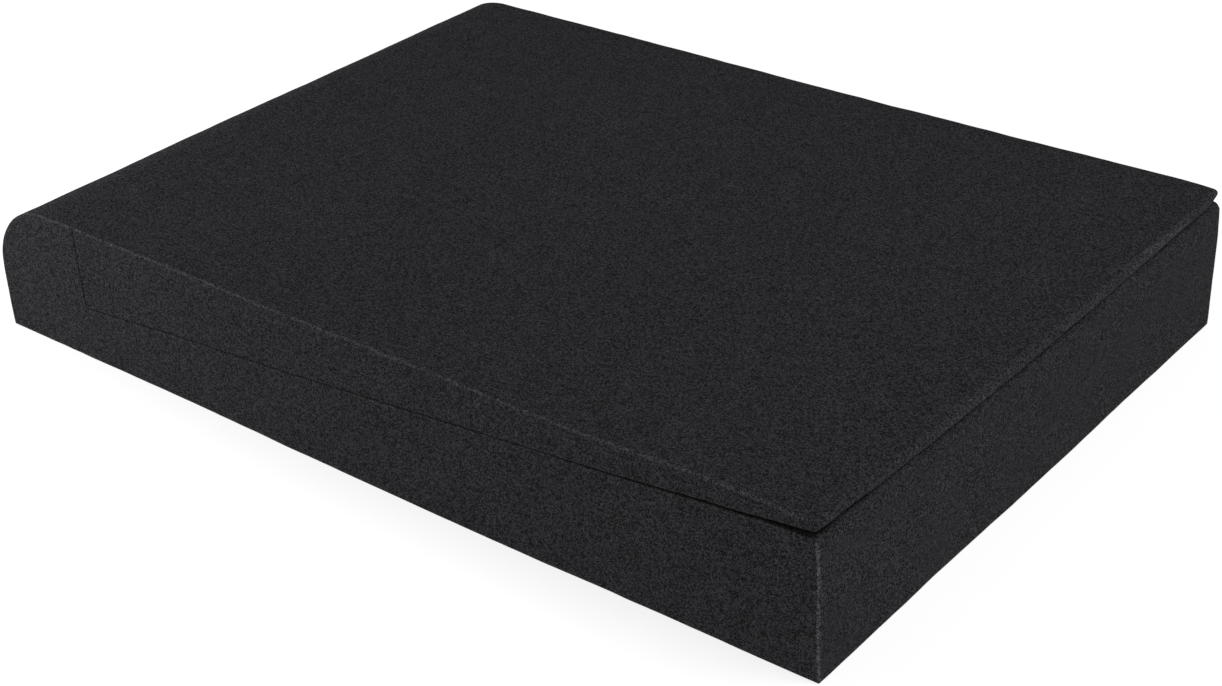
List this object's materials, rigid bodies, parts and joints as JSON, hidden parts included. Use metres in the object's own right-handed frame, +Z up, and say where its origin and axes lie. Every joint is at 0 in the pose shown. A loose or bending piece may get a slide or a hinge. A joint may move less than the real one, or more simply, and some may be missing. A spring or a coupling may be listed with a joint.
{
  "type": "speaker isolation pad",
  "caption": "L-shaped soft foam base with a raised, rounded lip and a sloping seat, levelled by a loose foam wedge, to decouple a desktop speaker from its surface.",
  "frame": {"origin": "middle of the pad's footprint, on the surface that it stands on", "axes": "+X along the length from the raised lip to the thin end, +Y across the width, +Z up"},
  "size_m": [0.3, 0.206, 0.0445],
  "materials": {
    "base_foam": "charcoal open-cell polyurethane foam, fine cells, fully matte",
    "wedge_foam": "charcoal open-cell polyurethane foam, fine cells, fully matte"
  },
  "bodies": {
    "root": {"foam_base": "base_foam", "wedge_insert": "wedge_foam"}
  },
  "joints": []
}
